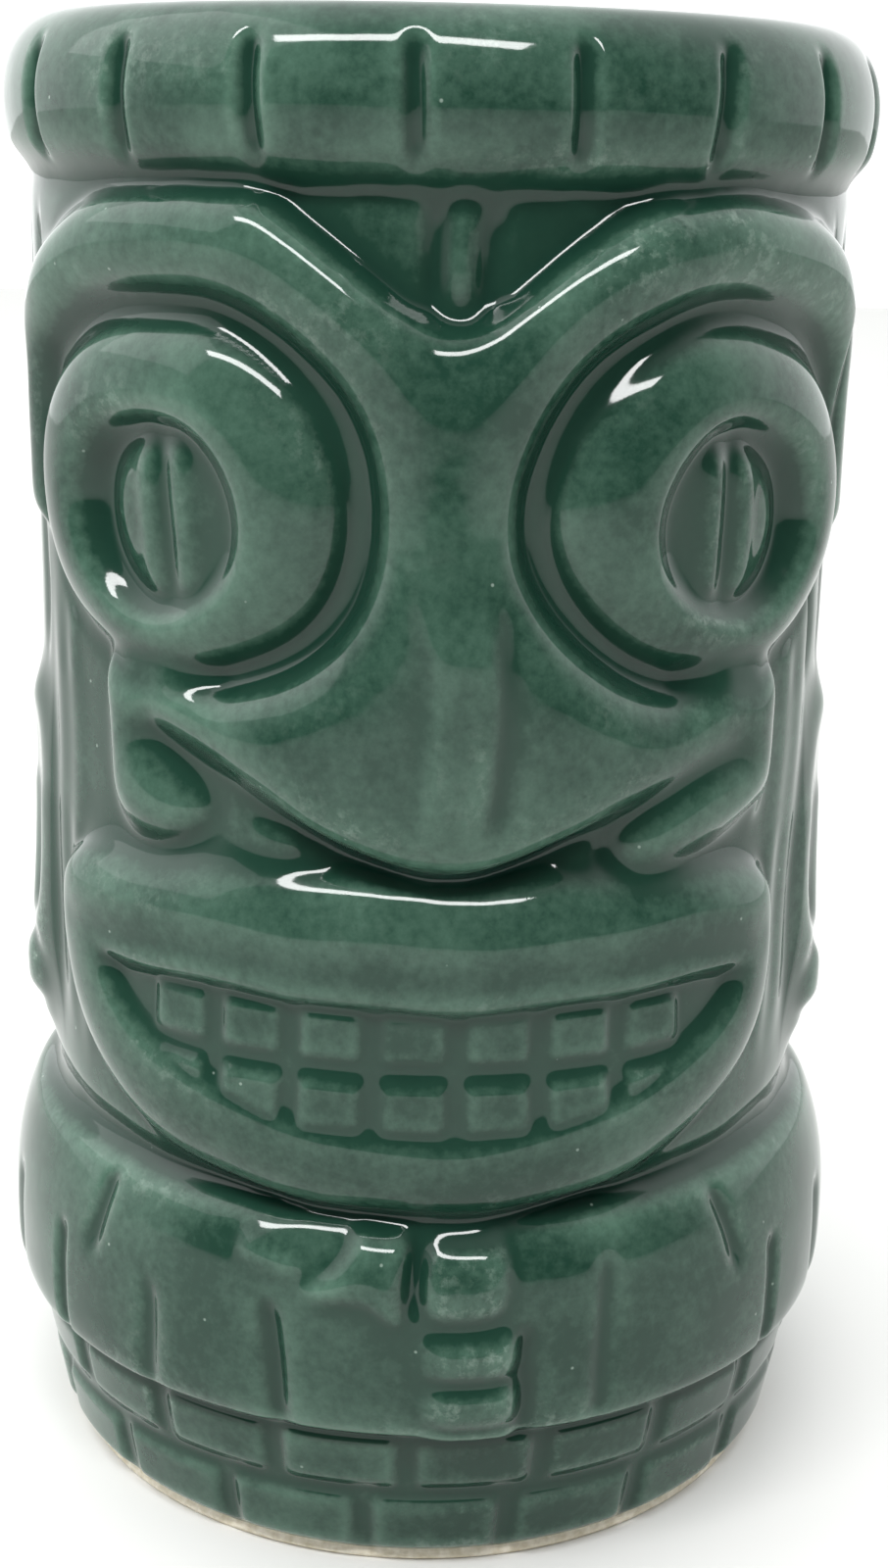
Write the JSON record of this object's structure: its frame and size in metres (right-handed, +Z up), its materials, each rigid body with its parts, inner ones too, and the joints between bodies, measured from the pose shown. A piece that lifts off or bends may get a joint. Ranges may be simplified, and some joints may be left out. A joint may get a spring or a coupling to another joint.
{
  "type": "tiki mug",
  "caption": "Tall glazed ceramic mug carved as a mask, with round eyes, bared teeth, a rolled rim band, a belly and a brick base.",
  "frame": {"origin": "centre of the foot ring, on the surface the mug stands on", "axes": "+Z up along the cup's axis to the lip; the carved face looks along -Y, its own left-hand side is at -X as seen from the front"},
  "size_m": [0.0948, 0.0954, 0.155],
  "materials": {
    "bare_clay": "fired, unglazed, fine grained cream clay",
    "outer_glaze": "glossy dark green glaze, darker where it pools and paler on edges",
    "inner_glaze": "glossy green lining glaze",
    "underside_glaze": "glossy green glaze, thinner and duller than outside"
  },
  "bodies": {
    "root": {"clay_body": "bare_clay", "outer_glaze": "outer_glaze", "inner_glaze": "inner_glaze", "underside_glaze": "underside_glaze"}
  },
  "joints": []
}
